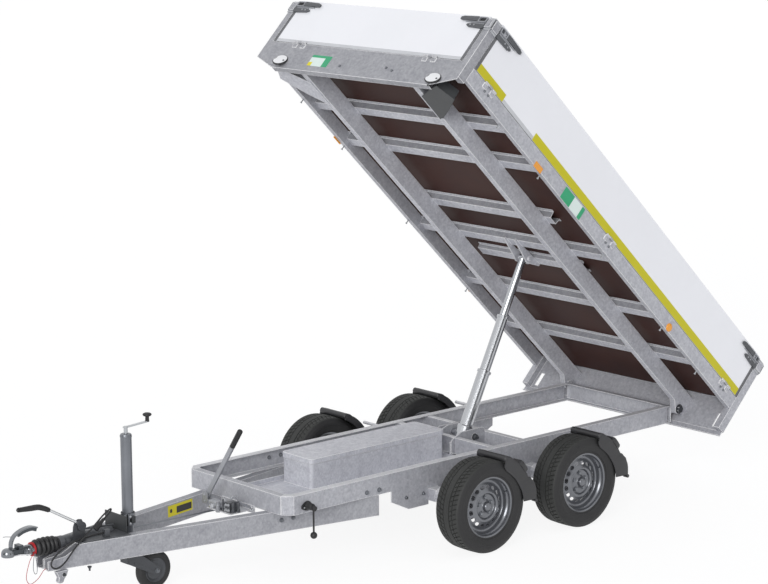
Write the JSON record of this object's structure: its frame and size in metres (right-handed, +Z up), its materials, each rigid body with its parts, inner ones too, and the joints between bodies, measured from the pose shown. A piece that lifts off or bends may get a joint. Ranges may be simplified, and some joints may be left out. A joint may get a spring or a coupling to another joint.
{
  "type": "tandem axle tipping trailer with drop sides",
  "caption": "Galvanised tipping trailer with drop sides, its bed raised by a telescopic cylinder, standing on its wheels and jockey wheel.",
  "frame": {"origin": "on the ground, under the middle of the trailer's box with the bed raised", "axes": "+Z up, -Y forward to the towing coupling, +X to the trailer's left"},
  "size_m": [1.688, 4.9442, 2.9722],
  "materials": {
    "galvanised": "hot dip galvanised steel, pale grey with a mottled spangle",
    "board": "white coated board, satin",
    "ply": "film faced plywood, dark brown",
    "rubber": "black rubber",
    "tyre": "road tyre, dark grey rubber",
    "wheel": "silver painted pressed steel",
    "plastic": "black moulded plastic",
    "dark_steel": "dark grey blue coated steel",
    "chrome": "ground bright steel tube",
    "zinc": "zinc plated steel, bright",
    "cable_black": "black cable sheath",
    "cable_red": "red coated thin wire rope"
  },
  "bodies": {
    "chassis": {"side_member_left": "galvanised", "side_member_right": "galvanised", "front_cross_member": "galvanised", "rear_cross_member": "galvanised", "hoist_mount": "galvanised", "axle_front": "galvanised", "axle_rear": "galvanised", "fender_front_left": "plastic", "fender_front_right": "plastic", "fender_rear_left": "plastic", "fender_rear_right": "plastic", "drawbar_arm_left": "galvanised", "drawbar_arm_right": "galvanised", "overrun_housing": "dark_steel", "bellows": "rubber", "coupling_head": "zinc", "handbrake": "dark_steel", "jockey_clamp": "dark_steel", "jockey_tube": "dark_steel", "pump_box": "galvanised", "hand_pump": "zinc", "side_crank": "plastic", "brake_rod": "zinc", "lead": "cable_black", "lead_plug": "plastic", "breakaway_cable": "cable_red"},
    "bed": {"bed_beam_left": "galvanised", "bed_beam_right": "galvanised", "cross_front": "galvanised", "cross_second": "galvanised", "cross_third": "galvanised", "cross_hoist": "galvanised", "cross_sixth": "galvanised", "cross_rear": "galvanised", "side_rail_left": "galvanised", "side_rail_right": "galvanised", "front_frame": "galvanised", "rear_frame": "galvanised", "floor": "ply", "beam_guard_left": "plastic", "beam_guard_right": "plastic"},
    "left_board": {"side_board_left": "board"},
    "right_board": {"side_board_right": "board"},
    "front_board": {"front_board": "board"},
    "tailgate": {"tailgate": "board"},
    "barrel": {"hoist_barrel": "chrome"},
    "stage_1": {"hoist_stage_1": "chrome"},
    "stage_2": {"hoist_stage_2": "chrome"},
    "stage_3": {"hoist_stage_3": "chrome"},
    "wheel_front_left": {"tyre_front_left": "tyre", "rim_front_left": "wheel"},
    "wheel_front_right": {"tyre_front_right": "tyre", "rim_front_right": "wheel"},
    "wheel_rear_left": {"tyre_rear_left": "tyre", "rim_rear_left": "wheel"},
    "wheel_rear_right": {"tyre_rear_right": "tyre", "rim_rear_right": "wheel"},
    "jockey_leg": {"jockey_leg": "zinc"},
    "jockey_fork": {"jockey_fork": "dark_steel"},
    "jockey_wheel": {"jockey_wheel": "rubber"}
  },
  "joints": [
    {"name": "bed_tip", "type": "hinge", "parent": "chassis", "child": "bed", "pos_m": [0, 2.09286, 0.46], "axis": [-1, 0, 0], "range_deg": [-44.4, 0]},
    {"name": "left_board_drop", "type": "hinge", "parent": "bed", "child": "left_board", "pos_m": [0.838, 2.21012, 0.57974], "axis": [0, 0.7145, -0.6997], "range_deg": [0, 170]},
    {"name": "right_board_drop", "type": "hinge", "parent": "bed", "child": "right_board", "pos_m": [-0.838, 2.21012, 0.57974], "axis": [0, -0.7145, 0.6997], "range_deg": [0, 170]},
    {"name": "front_board_drop", "type": "hinge", "parent": "bed", "child": "front_board", "pos_m": [0, -0.0176, 2.7613], "axis": [1, 0, 0], "range_deg": [0, 170]},
    {"name": "tailgate_drop", "type": "hinge", "parent": "bed", "child": "tailgate", "pos_m": [0, 2.26585, 0.52517], "axis": [-1, 0, 0], "range_deg": [0, 170]},
    {"name": "cylinder_swing", "type": "hinge", "parent": "chassis", "child": "barrel", "pos_m": [0, 0.73986, 0.45], "axis": [-1, 0, 0], "range_deg": [-3, 3]},
    {"name": "stage_1_slide", "type": "slide", "parent": "barrel", "child": "stage_1", "axis": [0, 0.4462, 0.8949], "range_m": [-0.3286, 0]},
    {"name": "stage_2_slide", "type": "slide", "parent": "stage_1", "child": "stage_2", "axis": [0, 0.4462, 0.8949], "range_m": [-0.3286, 0]},
    {"name": "stage_3_slide", "type": "slide", "parent": "stage_2", "child": "stage_3", "axis": [0, 0.4462, 0.8949], "range_m": [-0.3286, 0]},
    {"name": "wheel_front_left_spin", "type": "hinge", "parent": "chassis", "child": "wheel_front_left", "pos_m": [0.685, 0.21786, 0.2625], "axis": [1, 0, 0], "continuous": true},
    {"name": "wheel_front_right_spin", "type": "hinge", "parent": "chassis", "child": "wheel_front_right", "pos_m": [-0.685, 0.21786, 0.2625], "axis": [1, 0, 0], "continuous": true},
    {"name": "wheel_rear_left_spin", "type": "hinge", "parent": "chassis", "child": "wheel_rear_left", "pos_m": [0.685, 0.97186, 0.2625], "axis": [1, 0, 0], "continuous": true},
    {"name": "wheel_rear_right_spin", "type": "hinge", "parent": "chassis", "child": "wheel_rear_right", "pos_m": [-0.685, 0.97186, 0.2625], "axis": [1, 0, 0], "continuous": true},
    {"name": "jockey_leg_slide", "type": "slide", "parent": "chassis", "child": "jockey_leg", "axis": [0, 0, -1], "range_m": [-0.03, 0.2]},
    {"name": "jockey_swivel", "type": "hinge", "parent": "jockey_leg", "child": "jockey_fork", "pos_m": [0, -1.68714, 0.2], "axis": [0, 0, 1], "continuous": true},
    {"name": "jockey_wheel_spin", "type": "hinge", "parent": "jockey_fork", "child": "jockey_wheel", "pos_m": [0, -1.53214, 0.105], "axis": [1, 0, 0], "continuous": true}
  ],
  "couplings": [
    {"joint": "cylinder_swing", "follows": "bed_tip", "ratio": 0.017496},
    {"joint": "stage_1_slide", "follows": "bed_tip", "m_per_rad": 0.42381},
    {"joint": "stage_2_slide", "follows": "bed_tip", "m_per_rad": 0.42381},
    {"joint": "stage_3_slide", "follows": "bed_tip", "m_per_rad": 0.42381}
  ]
}
